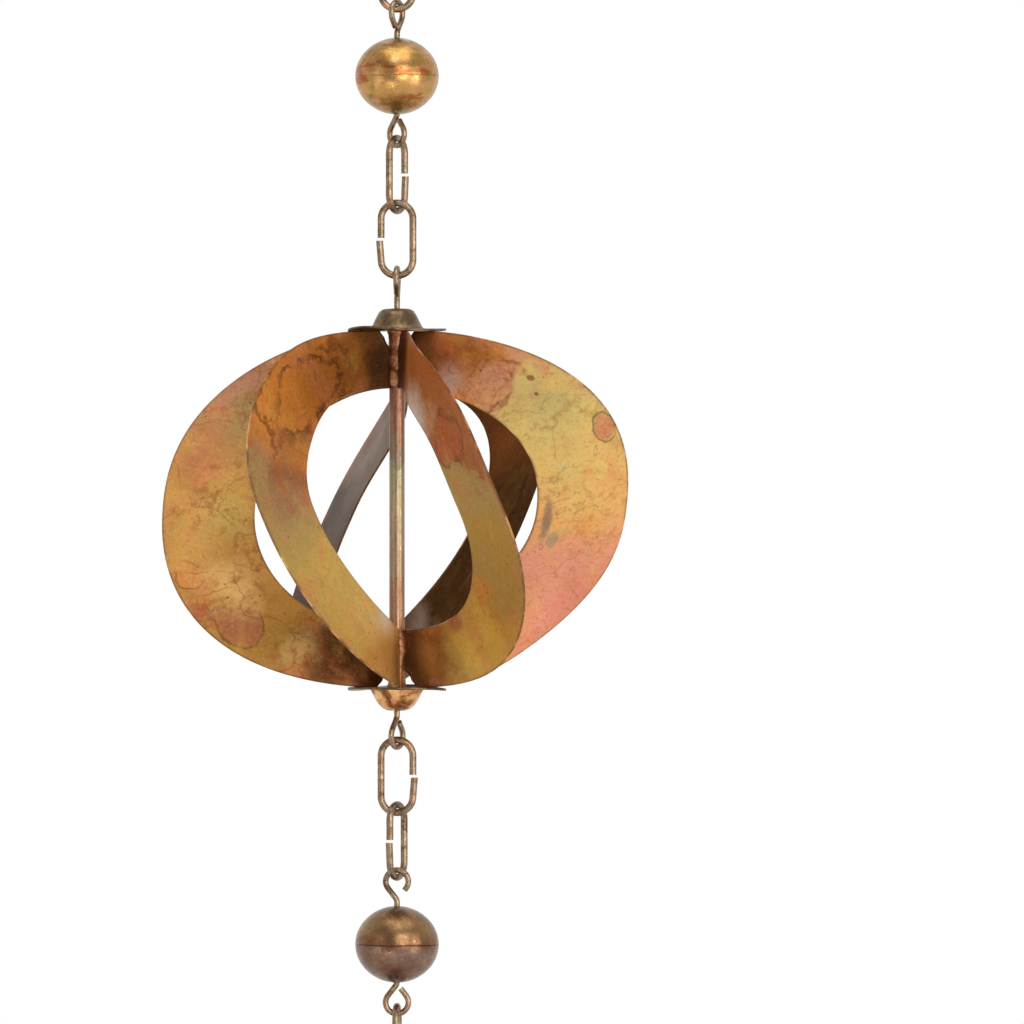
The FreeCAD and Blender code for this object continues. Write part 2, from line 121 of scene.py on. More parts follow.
class Shader:
    """Builds one material's node tree with short calls."""

    def __init__(self, name):
        self.material = bpy.data.materials.new(name)
        self.material.use_nodes = True
        self.tree = self.material.node_tree
        self.tree.nodes.clear()
        self.surface = self.add("ShaderNodeBsdfPrincipled")
        self.output = self.add("ShaderNodeOutputMaterial")
        self.link(self.surface.outputs[0], self.output.inputs["Surface"])

    def add(self, kind, **settings):
        node = self.tree.nodes.new(kind)
        for name, value in settings.items():
            setattr(node, name, value)
        return node

    def link(self, source, target):
        self.tree.links.new(source, target)

    def feed(self, socket, value):
        """Link an output, or set a plain value."""
        if isinstance(value, bpy.types.NodeSocket):
            self.link(value, socket)
        else:
            socket.default_value = value

    def math(self, operation, a, b=0.0, clamp=False):
        node = self.add("ShaderNodeMath", operation=operation, use_clamp=clamp)
        self.feed(node.inputs[0], a)
        self.feed(node.inputs[1], b)
        return node.outputs[0]

    def plus(self, a, b):
        return self.math("ADD", a, b)

    def times(self, product, *others):
        for other in others:
            product = self.math("MULTIPLY", product, other)
        return product

    def gap(self, a, b):
        """How far two values are apart."""
        return self.math("ABSOLUTE", self.math("SUBTRACT", a, b))

    def fit(self, value, low, high, to_low=0.0, to_high=1.0):
        """Smoothly from to_low at low to to_high at high."""
        node = self.add("ShaderNodeMapRange", interpolation_type="SMOOTHSTEP")
        self.feed(node.inputs["Value"], value)
        for name, number in (("From Min", low), ("From Max", high), ("To Min", to_low), ("To Max", to_high)):
            node.inputs[name].default_value = number
        return node.outputs["Result"]

    def spread(self, noise, reach, inside=0.3):
        """A noise brought from 0.5 - inside to 0.5 + inside to the range from -reach to reach."""
        return self.fit(noise, 0.5 - inside, 0.5 + inside, -reach, reach)

    def mix(self, share, a, b):
        node = self.add("ShaderNodeMix", data_type="RGBA")
        self.feed(node.inputs["Factor"], share)
        self.feed(node.inputs["A"], a)
        self.feed(node.inputs["B"], b)
        return node.outputs["Result"]

    def tint(self, base, share, code):
        """The base colour with a share of the colour of a hex code over it."""
        return self.mix(share, base, colour(code))

    def attribute(self, name):
        return self.add("ShaderNodeAttribute", attribute_name=name).outputs["Fac"]

    def place(self):
        return self.add("ShaderNodeTexCoord").outputs["Object"]

    def shifted(self, vector, offset, scale=(1, 1, 1)):
        """The vector times scale, plus offset."""
        node = self.add("ShaderNodeMapping")
        self.feed(node.inputs["Vector"], vector)
        node.inputs["Location"].default_value = offset
        node.inputs["Scale"].default_value = scale
        return node.outputs[0]

    def rippled(self, vector, size, reach):
        """The vector, moved by clouds about size metres across."""
        ripple = self.add("ShaderNodeTexNoise")
        ripple.inputs["Scale"].default_value = 1 / size
        self.link(vector, ripple.inputs["Vector"])
        moved = self.add("ShaderNodeVectorMath", operation="MULTIPLY_ADD")
        self.link(ripple.outputs["Color"], moved.inputs[0])
        moved.inputs[1].default_value = (reach,) * 3
        self.link(vector, moved.inputs[2])
        return moved.outputs[0]

    def combine(self, x, y):
        node = self.add("ShaderNodeCombineXYZ")
        self.link(x, node.inputs["X"])
        self.link(y, node.inputs["Y"])
        return node.outputs[0]

    def level(self, vector, bottom, height):
        """How high the vector is, from 0 at the bottom to 1 at bottom + height."""
        node = self.add("ShaderNodeSeparateXYZ")
        self.link(self.shifted(vector, (0, 0, -bottom / height), (1, 1, 1 / height)), node.inputs[0])
        return node.outputs["Z"]

    def noise(self, vector, size, detail=4.0, roughness=0.55, distortion=0.0):
        """Clouds about size metres across, from 0 to 1."""
        node = self.add("ShaderNodeTexNoise")
        self.feed(node.inputs["Vector"], vector)
        node.inputs["Scale"].default_value = 1 / size
        node.inputs["Detail"].default_value = detail
        node.inputs["Roughness"].default_value = roughness
        node.inputs["Distortion"].default_value = distortion
        return node.outputs["Fac"]

    def cells(self, vector, size, feature="F1"):
        """Distances in cells about size metres across."""
        node = self.add("ShaderNodeTexVoronoi", feature=feature)
        self.feed(node.inputs["Vector"], vector)
        node.inputs["Scale"].default_value = 1 / size
        return node.outputs["Distance"]

    def length(self, vector):
        node = self.add("ShaderNodeVectorMath", operation="LENGTH")
        self.link(vector, node.inputs[0])
        return node.outputs["Value"]

    def ramp(self, value, stops, interpolation="B_SPLINE"):
        """Colours along a value: (place from 0 to 1, hex code) pairs."""
        node = self.add("ShaderNodeValToRGB")
        self.feed(node.inputs["Fac"], value)
        elements = node.color_ramp.elements
        node.color_ramp.interpolation = interpolation
        while len(elements) < len(stops):
            elements.new(0.5)
        for element, (place, code) in zip(elements, stops):
            element.position = place
            element.color = colour(code)
        return node.outputs["Color"]

    def bump(self, height, depth, strength):
        node = self.add("ShaderNodeBump")
        node.inputs["Strength"].default_value = strength
        node.inputs["Distance"].default_value = depth
        self.feed(node.inputs["Height"], height)
        return node.outputs["Normal"]

    def finish(self, base, roughness, normal, metallic):
        self.feed(self.surface.inputs["Base Color"], base)
        self.feed(self.surface.inputs["Roughness"], roughness)
        self.feed(self.surface.inputs["Normal"], normal)
        self.feed(self.surface.inputs["Metallic"], metallic)
        return self.material


def upward(stops):
    """Stops whose places run from -1 to 1, moved to places from 0 to 1."""
    return [((place + 1) / 2, code) for place, code in stops]


# Flame colours along a blade's side, their dark ends partly heat colour and partly painted shade by the hub:
# (place, from -1 at the lower end to 1 at the upper end, colour)
PATINAS_AND_SHADE = {
    "ochre_rust": [
        (-0.95, "#4E2C10"), (-0.8, "#5C3A1B"), (-0.7, "#6F5530"), (-0.6, "#A17833"), (-0.42, "#B2813E"),
        (-0.2, "#B68443"), (0.0, "#B28641"), (0.16, "#A87D45"), (0.36, "#9A754A"), (0.52, "#9D6D3E"),
        (0.66, "#9A5E2C"), (0.8, "#864F20"), (0.98, "#4E2C10"),
    ],
    "rust_olive": [
        (-0.98, "#6A4220"), (-0.72, "#B48644"), (-0.46, "#C6A256"), (-0.27, "#BC9E50"), (-0.1, "#AE9254"),
        (0.03, "#A68854"), (0.1, "#A07450"), (0.17, "#AC6C34"), (0.36, "#C4782A"), (0.62, "#BA6E28"),
        (0.85, "#90561F"), (0.98, "#5A3414"),
    ],
    "olive_gold": [
        (-0.98, "#7E4A20"), (-0.85, "#A86A30"), (-0.77, "#B88A44"), (-0.7, "#CCAC5C"), (-0.55, "#D2A848"),
        (-0.4, "#C8963F"), (-0.25, "#AE8C46"), (-0.05, "#B4903E"), (0.06, "#AA9250"), (0.12, "#A88446"),
        (0.18, "#A2602A"), (0.42, "#A86628"), (0.7, "#A06024"), (0.98, "#6A3C16"),
    ],
    "gold_pink": [
        (-0.98, "#8A5422"), (-0.6, "#C88A50"), (-0.45, "#CE8A64"), (-0.3, "#DA9478"), (-0.15, "#DE9A70"),
        (0.0, "#DCA864"), (0.16, "#D8B46C"), (0.36, "#CEB46C"), (0.5, "#C4A866"), (0.57, "#BE8C64"),
        (0.69, "#B87438"), (0.85, "#8E5420"), (0.98, "#5A3414"),
    ],
    # Painted shade: the grey and brown sides are dark for the shade inside the spinner, and the grey side's
    # greyish tone is a painted sheen of the white room
    "grey": [
        (-0.98, "#342015"), (-0.5, "#372518"), (-0.3, "#3B2E25"), (-0.1, "#494037"), (0.05, "#544B42"),
        (0.2, "#726154"), (0.5, "#77614D"), (0.98, "#513D2A"),
    ],
    "brown": [
        (-0.98, "#51351E"), (-0.58, "#5C4D40"), (-0.42, "#3B240C"), (-0.1, "#39230D"), (0.1, "#42290F"),
        (0.3, "#5F3516"), (0.6, "#5A3215"), (0.98, "#341E0D"),
    ],
    "copper": [
        (-0.98, "#5A3216"), (-0.6, "#B06C34"), (-0.2, "#BE8442"), (0.1, "#C08A46"), (0.4, "#B07434"),
        (0.75, "#A06228"), (0.98, "#5A3214"),
    ],
    "ochre": [
        (-0.98, "#6A3C16"), (-0.64, "#C08840"), (-0.1, "#D2A656"), (0.4, "#C89A50"), (0.72, "#AE7A44"),
        (0.98, "#5A3414"),
    ],
    "pale": [
        (-0.98, "#7A5428"), (-0.6, "#C6AA6C"), (0.0, "#D4C07E"), (0.5, "#CCAE68"), (0.8, "#B08A4E"),
        (0.98, "#6A4420"),
    ],
    "dusk": [
        (-0.98, "#5A3A22"), (-0.56, "#B0886E"), (0.0, "#B8947E"), (0.56, "#AC8862"), (0.98, "#5A3820"),
    ],
}

# Sides painted dark as shade, and how strongly clouds and marks at random show on them
DARK = ("grey", "brown")
DARK_CLOUDS = 0.12
DARK_MARKS = 0.25

# How far the painted-shade sides are kept from mirroring the white room, by more metal and a warm specular
# tint
SHADE_DULLING = {"brown": 0.6, "grey": 0.12}

# How strongly rust mottles the flame colours, and how strongly elsewhere
MOTTLING = {"ochre_rust": 0.8, "gold_pink": 0.4, "pale": 0.5, "dusk": 0.5}
SMOOTH = 0.16

# For each spinner and blade: flame colours of the side that faces left round the tube, and of the other; grey
# and brown are painted shade
BLADE_PATINAS_AND_SHADE = (
    (
        ("ochre", "brown"), ("grey", "copper"), ("ochre_rust", "olive_gold"),
        ("rust_olive", "gold_pink"), ("copper", "olive_gold"), ("rust_olive", "gold_pink"),
    ),
    (
        ("copper", "rust_olive"), ("ochre", "brown"), ("brown", "ochre"),
        ("gold_pink", "copper"), ("rust_olive", "ochre_rust"), ("copper", "olive_gold"),
    ),
    (
        ("ochre", "brown"), ("brown", "copper"), ("pale", "ochre"),
        ("rust_olive", "gold_pink"), ("copper", "rust_olive"), ("ochre_rust", "copper"),
    ),
    (
        ("copper", "ochre_rust"), ("ochre", "brown"), ("grey", "copper"),
        ("dusk", "copper"), ("rust_olive", "ochre"), ("copper", "rust_olive"),
    ),
)

# A mark on a blade, mostly one that the flame left, some painted highlights, painted light and painted shade:
# its middle along and across the blade, half its length and width in the same measures, its colour, how
# strong it is, the colour of its rim, and where it begins to fade
CRISP = 0.75
SOFT = 0.0
Mark = namedtuple("Mark", "along across length width tone strength rim fade", defaults=("", CRISP))

MARKS = {
    (1, 3, "left"): [
        Mark(0.16, 0.74, 0.2, 0.36, "#A86A44", 0.8, fade=SOFT),
        Mark(0.4, 0.92, 0.2, 0.26, "#B47A62", 0.8, fade=SOFT),
        Mark(0.33, 0.62, 0.1, 0.3, "#968250", 0.7, fade=SOFT),
        Mark(-0.02, 0.36, 0.16, 0.4, "#AC9C54", 0.6, fade=SOFT),
        Mark(-0.21, 0.8, 0.04, 0.16, "#CC8246", 0.6, "#8E5028"),
        Mark(-0.32, 0.9, 0.035, 0.1, "#A0603E", 0.8, "#84502E"),
        Mark(-0.42, 0.68, 0.1, 0.25, "#9E5E42", 0.85, "#74482E"),
        Mark(-0.3, 0.45, 0.18, 0.5, "#D8AC6A", 0.9, fade=SOFT),
        Mark(-0.11, 0.6, 0.14, 0.4, "#CC9E58", 0.5, fade=SOFT),
        Mark(-0.63, 0.6, 0.1, 0.36, "#C4A060", 0.9, fade=SOFT),
        Mark(-0.34, 0.2, 0.035, 0.035, "#96603A", 0.6),
        Mark(-0.8, 0.55, 0.05, 0.2, "#3E2410", 0.7),
    ],
    (1, 4, "left"): [
        Mark(0.5, 0.42, 0.22, 0.4, "#C07826", 0.4, "#502A0C"),
        Mark(0.3, 0.75, 0.2, 0.4, "#D48C3C", 0.8, fade=SOFT),
        Mark(0.52, 0.5, 0.27, 0.6, "#A8621E", 0.0, "#7A4418"),
        Mark(0.12, 0.3, 0.06, 0.6, "#86563A", 0.75, fade=SOFT),
        Mark(-0.46, 0.4, 0.16, 0.4, "#CCAA66", 0.6, fade=SOFT),
        # Painted highlight: a whitish sheen low by the tube
        Mark(-0.64, 0.1, 0.16, 0.36, "#CEC6B6", 0.85, fade=SOFT),
    ],
    (1, 1, "right"): [
        # Painted reflection: a pale sheen low on the blade
        Mark(-0.56, 0.3, 0.13, 0.5, "#94806E", 0.6, fade=SOFT),
        Mark(0.3, 0.2, 0.1, 0.4, "#7E4420", 0.6, fade=SOFT),
        Mark(-0.2, 0.5, 0.2, 0.06, "#6A4420", 0.7, fade=SOFT),
        Mark(-0.1, 0.25, 0.25, 0.05, "#26160A", 0.7, fade=SOFT),
        Mark(0.05, 0.7, 0.25, 0.06, "#2A180C", 0.7, fade=SOFT),
    ],
    (1, 2, "left"): [
        # Painted sheen: a grey reflection on the upper half
        Mark(0.2, 0.6, 0.16, 0.5, "#96887C", 0.6, fade=SOFT),
        # Painted shade: the lower part of this back blade darker
        Mark(-0.36, 0.5, 0.24, 0.9, "#2E1E14", 0.9, fade=SOFT),
    ],
    (1, 5, "right"): [
        # Painted highlight: a whitish sheen at the upper inner edge
        Mark(0.5, 0.05, 0.22, 0.55, "#D0C2B8", 1.0, fade=SOFT),
        Mark(0.26, 0.42, 0.09, 0.34, "#AE5624", 0.6, "#7E401C"),
        Mark(-0.34, 0.2, 0.08, 0.28, "#D08A3E", 0.85, fade=SOFT),
        # The blade's yellow, made brighter still as painted light where the lower part lies in shade
        Mark(-0.62, 0.44, 0.18, 0.6, "#EAC25E", 1.0, fade=SOFT),
        Mark(-0.66, 0.06, 0.08, 0.2, "#B0623A", 0.85, fade=0.3),
        Mark(-0.87, 0.94, 0.025, 0.08, "#D89A78", 0.8),
        # Painted light: lifts the shaded lower end
        Mark(-0.88, 0.5, 0.08, 0.5, "#D8944E", 0.8, fade=SOFT),
    ],
    (1, 6, "right"): [
        # Painted highlight: a mauve-white sheen near the top
        Mark(0.74, 0.3, 0.11, 0.4, "#B69A8C", 0.9, fade=SOFT),
        Mark(0.6, 0.34, 0.085, 0.42, "#B88468", 0.85, "#865434", 0.5),
        Mark(0.41, 0.55, 0.14, 0.44, "#B0A268", 0.7, fade=SOFT),
        Mark(0.5, 0.7, 0.012, 0.035, "#84481E", 0.8),
        Mark(0.45, 0.56, 0.009, 0.028, "#6E4020", 0.8),
        Mark(0.25, 0.87, 0.045, 0.14, "#C4845C", 0.9, "#6E6240"),
        Mark(0.17, 0.3, 0.022, 0.06, "#C6BC84", 0.6),
        Mark(0.13, 0.68, 0.035, 0.1, "#DAC478", 0.6),
        Mark(0.05, 0.18, 0.022, 0.06, "#CC9A50", 0.0, "#A8703C"),
        Mark(-0.05, 0.13, 0.11, 0.07, "#86705A", 0.85, fade=0.3),
        Mark(-0.12, 0.25, 0.03, 0.06, "#8C8C74", 0.6),
        Mark(-0.04, 0.58, 0.06, 0.18, "#DC9A58", 0.85, fade=SOFT),
        Mark(-0.3, 0.85, 0.2, 0.4, "#D47E6C", 0.7, fade=SOFT),
        Mark(-0.47, 0.9, 0.14, 0.3, "#BC765A", 0.7, fade=SOFT),
    ],
    (3, 3, "left"): [Mark(0.2, 0.7, 0.09, 0.26, "#A85C30", 0.8, "#7A4424")],
}

# Marks at random, on the sides that the photograph doesn't show well
MARKS_ON_A_SIDE = 5
MARK_BREADTH = 2.4
SOFT_SHARE = 0.6
MARK_TONES = ("#B87A58", "#C88E4A", "#9E8A56", "#CE9C5C", "#A2663C", "#B08A72", "#D2A85E")
MARK_RIMS = ("", "", "", "#8A5E3E")


def random_marks(seed, strength):
    """A few marks at random for one side of a blade."""
    rng = np.random.default_rng(seed)
    marks = []
    for _ in range(MARKS_ON_A_SIDE):
        along, across = rng.uniform(-0.6, 0.6), rng.uniform(0.1, 0.95)
        length = rng.uniform(0.03, 0.12)
        tone = MARK_TONES[rng.integers(len(MARK_TONES))]
        rim = MARK_RIMS[rng.integers(len(MARK_RIMS))]
        fade = SOFT if rng.random() < SOFT_SHARE else CRISP
        share = strength * rng.uniform(0.4, 0.8)
        marks.append(Mark(along, across, length, MARK_BREADTH * length, tone, share, rim, fade))
    return marks


# What the layers of a patina share: the blade's attributes, its own place in the noises, coarse, fine and
# finest noise, and the patches in which lines break off
Sheet = namedtuple("Sheet", "along across side place drift fine grain broken")

# The side attribute is 1 on the left and -1 on the right, and the looks change within this much of 0
SIDE_CHANGE = 0.2

# Clouds on a blade: width, place in the noise, where they begin, strength and colour
CLOUDS = (
    (15 * MM, (0, 0, 0), 0.5, 0.45, "#CC7A50"),
    (12 * MM, (3, 1, 2), 0.5, 0.28, "#D8A64C"),
    (9 * MM, (5, 2, 8), 0.55, 0.35, "#A89C5C"),
)
CLOUD_RISE = 0.22


def read_sheet(s, seed):
    """The attributes and noises of one blade."""
    place = s.shifted(s.place(), (seed * 0.37, seed * 0.21, seed * 0.53))
    return Sheet(
        along=s.attribute("along"),
        across=s.attribute("across"),
        side=s.attribute("side"),
        place=place,
        drift=s.noise(place, 24 * MM, detail=2),
        fine=s.noise(place, 4 * MM, detail=6, roughness=0.72),
        grain=s.noise(place, 1.1 * MM, detail=5, roughness=0.75),
        broken=s.fit(s.noise(s.shifted(place, (4, 4, 1)), 7 * MM, detail=2), 0.34, 0.52),
    )


def by_side(s, sheet, left, right):
    """One number on the left side and another on the right."""
    return s.fit(sheet.side, -SIDE_CHANGE, SIDE_CHANGE, right, left)


def side_flames_and_painted_light(s, zone, spot, ragged, broken, stops, marks):
    """Colour of one side: its flame zones, painted shade on the grey and brown sides, and the marks on them,
    some painted highlights and painted light, with ragged outlines and broken rims.
    """
    base = s.ramp(zone, upward(stops), "EASE")
    for mark in marks:
        scale = (1 / mark.length, 1 / mark.width, 1)
        local = s.shifted(spot, (-mark.along / mark.length, -mark.across / mark.width, 0), scale)
        away = s.plus(s.length(local), ragged)
        if mark.strength:
            base = s.tint(base, s.fit(away, mark.fade, 1.05, mark.strength, 0), mark.tone)
        if mark.rim:
            line = s.fit(s.gap(away, 1.0), 0.02, 0.13, 0.8, 0)
            base = s.tint(base, s.times(line, broken), mark.rim)
    return base


def flames_and_painted_light(s, sheet, sides, marks):
    """The flame zones and marks of both sides, with their painted shade, painted highlights and painted
    light.
    """
    zone = s.plus(s.times(sheet.along, 0.5), 0.5)
    zone = s.plus(zone, s.spread(sheet.drift, 0.06))
    zone = s.plus(zone, s.spread(sheet.fine, 0.025))
    spot = s.combine(sheet.along, sheet.across)
    cloudy = s.noise(sheet.place, 9 * MM, detail=3)
    ragged = s.plus(s.spread(cloudy, 0.28), s.spread(sheet.fine, 0.08))
    left, right = (
        side_flames_and_painted_light(s, zone, spot, ragged, sheet.broken, PATINAS_AND_SHADE[side], spots)
        for side, spots in zip(sides, marks)
    )
    return s.mix(by_side(s, sheet, 1.0, 0.0), right, left)


def add_clouds(s, sheet, base, clouded):
    """Salmon, yellow and greenish clouds, and a pinker outer edge."""
    for width, offset, low, strength, tone in CLOUDS:
        cloud = s.noise(s.shifted(sheet.place, offset), width, detail=5, distortion=0.5)
        base = s.tint(base, s.times(s.fit(cloud, low, low + CLOUD_RISE, 0, strength), clouded), tone)
    outer = s.times(s.fit(sheet.across, 0.8, 1.0), s.fit(sheet.drift, 0.4, 0.7, 0, 0.5))
    return s.tint(base, outer, "#C08060")


def add_rust(s, sheet, base, clouded, mottled):
    """Rusty mottling in patches, and a dark and a pale grain."""
    patch = s.fit(s.noise(s.shifted(sheet.place, (2, 9, 4)), 22 * MM, detail=2), 0.42, 0.62)
    base = s.tint(base, s.times(s.fit(sheet.fine, 0.49, 0.6, 0, 0.7), patch, mottled), "#964E28")
    base = s.tint(base, s.fit(sheet.grain, 0.3, 0.48, 0.4, 0), "#70441F")
    return s.tint(base, s.times(s.fit(sheet.grain, 0.54, 0.75, 0, 0.36), clouded), "#E8C486")


def add_lines(s, sheet, base, mottled):
    """Thin oxide lines, as contours and as cracks, and dark specks in clusters."""
    place = sheet.place
    contours = s.times(s.noise(place, 20 * MM, detail=3, roughness=0.55, distortion=0.9), 7.0)
    contour = s.fit(s.gap(s.math("FRACT", contours), 0.5), 0.0, 0.035, 0.5, 0)
    region = s.fit(s.noise(s.shifted(place, (8, 3, 6)), 30 * MM, detail=1), 0.5, 0.6)
    base = s.tint(base, s.times(contour, region), "#6E3E1A")
    cells = s.cells(s.rippled(place, 9 * MM, 10 * MM), 24 * MM, "DISTANCE_TO_EDGE")
    crack = s.fit(cells, 0.004, 0.014, 0.6, 0)
    base = s.tint(base, s.times(crack, sheet.broken, mottled), "#8A4A24")
    dots = s.fit(s.cells(place, 2.6 * MM), 0.1, 0.18, 1, 0)
    cluster = s.fit(s.noise(s.shifted(place, (1, 4, 8)), 17 * MM, detail=3), 0.55, 0.68, 0, 0.8)
    return s.tint(base, s.times(dots, cluster), "#4A3018")


def add_edges(s, sheet, base):
    """Ends darkened by heat and by painted shade by the hub, bare edges, and dark borders beside them."""
    # Heat colour and painted shade: the blade darkens towards its ends at the hub
    heat = s.plus(s.math("ABSOLUTE", sheet.along), s.spread(sheet.drift, 0.08))
    base = s.tint(base, s.fit(heat, 0.82, 1.0, 0, 0.6), "#44260E")
    edge = s.math("SUBTRACT", 1.0, s.math("ABSOLUTE", sheet.side), clamp=True)
    bare = s.mix(sheet.broken, colour("#B88A58"), colour("#4A2E18"))
    base = s.mix(s.fit(edge, 0.3, 0.9, 0, 0.8), base, bare)
    border = s.fit(s.gap(sheet.across, 0.5), 0.475, 0.5, 0, 0.55)
    return s.tint(base, s.times(border, sheet.broken), "#5A3618")


def patina_and_painted_light(name, sides, marks, seed):
    """Flame-coloured copper sheet: zones, marks, oxide lines, rusty mottling, specks and scratches, with
    painted highlights, painted light and painted shade among the zones and marks.
    """
    s = Shader(name)
    sheet = read_sheet(s, seed)
    clouded = by_side(s, sheet, *(DARK_CLOUDS if side in DARK else 1.0 for side in sides))
    mottled = by_side(s, sheet, *(MOTTLING.get(side, SMOOTH) for side in sides))
    shade_dulled = by_side(s, sheet, *(SHADE_DULLING.get(side, 0.0) for side in sides))
    base = flames_and_painted_light(s, sheet, sides, marks)
    base = add_clouds(s, sheet, base, clouded)
    base = add_rust(s, sheet, base, clouded, mottled)
    base = add_lines(s, sheet, base, mottled)
    base = add_edges(s, sheet, base)
    flow = s.combine(s.times(sheet.along, 0.07), s.times(sheet.across, 0.6))
    scratch = s.noise(flow, 2.2 * MM, detail=3, roughness=0.6)
    base = s.tint(base, s.fit(scratch, 0.56, 0.74, 0, 0.22), "#DCC49C")
    base = s.tint(base, s.fit(scratch, 0.26, 0.44, 0.22, 0), "#5E3A1C")
    roughness = s.plus(s.fit(sheet.fine, 0.3, 0.8, 0.48, 0.6), s.times(scratch, 0.08))
    height = s.plus(s.times(scratch, 0.3), s.times(sheet.grain, 0.4))
    s.surface.inputs["Specular IOR Level"].default_value = 0.25
    # The painted-shade sides mirror less: more metallic, with a warm tint on their reflection
    s.link(s.mix(shade_dulled, (1, 1, 1, 1), colour("#9A7458")), s.surface.inputs["Specular Tint"])
    metallic = s.plus(s.times(shade_dulled, 0.2), 0.8)
    return s.finish(base, roughness, s.bump(height, 0.1 * MM, 0.4), metallic)


def add_piece(name, points, faces):
    """A smooth mesh object with sharp corners."""
    mesh = bpy.data.meshes.new(name)
    mesh.from_pydata(points, [], faces)
    mesh.shade_smooth()
    mesh.set_sharp_from_angle(angle=SHARP_ANGLE)
    piece = bpy.data.objects.new(name, mesh)
    bpy.context.collection.objects.link(piece)
    return piece


def edge_reach(width, height, fullness, angle):
    """From the tube's side to a rounded outline of the blade, at an angle above the level."""
    across = (abs(math.cos(angle)) / width) ** fullness
    along = (abs(math.sin(angle)) / height) ** fullness
    return (across + along) ** (-1 / fullness)


def blade_turn(angle, bends):
    """How far round the tube a blade has twisted at an angle above the level, with its hand bends."""
    end, upper, middle, lower = (math.radians(b) for b in bends)
    turn = -BLADE_TWIST * angle / math.pi
    turn += end * max(0, math.sin(angle)) ** END_BEND_POWER
    turn += (upper if angle > 0 else lower) * math.sin(2 * angle) ** 2
    return turn + middle * math.cos(angle) ** 2


def relieved(reach, angle, tube_side, half_height):
    """The outer reach, drawn back round the corner between tube and disc."""
    ahead = half_height * abs(math.sin(angle)) - tube_side * math.cos(angle)
    room = ahead**2 - (tube_side**2 + half_height**2 - RELIEF**2)
    return min(reach, ahead - math.sqrt(room)) if room > 0 else reach


def blade_angles():
    """Stations along a blade, close together at its ends."""
    middle = np.linspace(-MAIN_END, MAIN_END, MAIN_STATIONS)
    close = np.linspace(MAIN_END, math.pi / 2, END_STATIONS)[1:]
    return np.concatenate([-close[::-1], middle, close])


def blade_middle(angles, steps, turn, bends, height, half_height, tube_side, seed):
    """Points in the middle of a blade's sheet, by station along and step across."""
    waves = np.random.default_rng(seed).uniform(-1, 1, (4, 3))
    middle = np.zeros((len(angles), len(steps), 3))
    for i, angle in enumerate(angles):
        inner = edge_reach(HOLLOW_WIDTH / 2 - tube_side, HOLLOW_HEIGHT / 2, HOLLOW_FULLNESS, angle)
        outer = edge_reach(BLADE_WIDTH / 2 - tube_side, half_height, BLADE_FULLNESS, angle)
        outer = relieved(outer, angle, tube_side, half_height)
        free = math.cos(angle) ** 2
        for j, step in enumerate(steps):
            reach = inner + (outer - inner) * step
            radius = tube_side + reach * math.cos(angle)
            wave = sum(a * math.sin(3 * b * angle + 4 * c * step + 6 * a) for a, b, c in waves)
            theta = turn + blade_turn(angle, bends) + WAVINESS * wave * free / radius
            x, y = radius * math.cos(theta), radius * math.sin(theta)
            middle[i, j] = (x, y, height + reach * math.sin(angle))
    return middle


def border_of(rows, columns):
    """The outline of a grid, once round."""
    border = [(i, 0) for i in range(rows)]
    border += [(rows - 1, j) for j in range(1, columns)]
    border += [(i, columns - 1) for i in range(rows - 2, -1, -1)]
    return border + [(0, j) for j in range(columns - 2, 0, -1)]


def sheet_faces(rows, columns, loop):
    """Faces of the left grid of points, of the right one after it, and of the rim after both."""
    count = rows * columns
    faces = []
    for i in range(rows - 1):
        for j in range(columns - 1):
            a, b = i * columns + j, i * columns + j + 1
            c, d = b + columns, a + columns
            faces.append((d, c, b, a))
            faces.append((a + count, b + count, c + count, d + count))
    for k in range(len(loop)):
        following = (k + 1) % len(loop)
        a, b = loop[k], loop[following]
        c, d = 2 * count + k, 2 * count + following
        faces.append((c, d, b, a))
        faces.append((a + count, b + count, d, c))
    return faces


def unit(vectors):
    """Vectors brought to a length of 1."""
    return vectors / np.linalg.norm(vectors, axis=-1, keepdims=True)


def make_blade(name, turn, bends, height, half_height, tube_side, seed):
    """A sheet crescent with rounded edges. Its attributes along, across and side steer the patina."""
    angles = blade_angles()
    steps = np.linspace(0, 1, STEPS_ACROSS)
    middle = blade_middle(angles, steps, turn, bends, height, half_height, tube_side, seed)
    run, width = np.gradient(middle, axis=0), np.gradient(middle, axis=1)
    normal = unit(np.cross(run, width))
    run, width = unit(run), unit(width)
    rows, columns = len(angles), len(steps)
    border = border_of(rows, columns)
    rim = []
    for i, j in border:
        outward = width[i, j] * (float(j == columns - 1) - float(j == 0))
        outward = outward + run[i, j] * (float(i == rows - 1) - float(i == 0))
        rim.append(middle[i, j] + unit(outward) * SHEET * RIM_BULGE)
    left = (middle + normal * SHEET / 2).reshape(-1, 3)
    right = (middle - normal * SHEET / 2).reshape(-1, 3)
    points = np.concatenate([left, right, np.array(rim)])
    loop = [i * columns + j for i, j in border]
    blade = add_piece(name, points.tolist(), sheet_faces(rows, columns, loop))
    along = np.repeat(angles / (math.pi / 2), columns)
    across = np.tile(steps, rows)
    count = rows * columns
    values = {
        "along": np.concatenate([along, along, along[loop]]),
        "across": np.concatenate([across, across, across[loop]]),
        "side": np.concatenate([np.ones(count), -np.ones(count), np.zeros(len(loop))]),
    }
    for key, numbers in values.items():
        attribute = blade.data.attributes.new(key, "FLOAT", "POINT")
        attribute.data.foreach_set("value", numbers.astype(np.float32))
    return blade


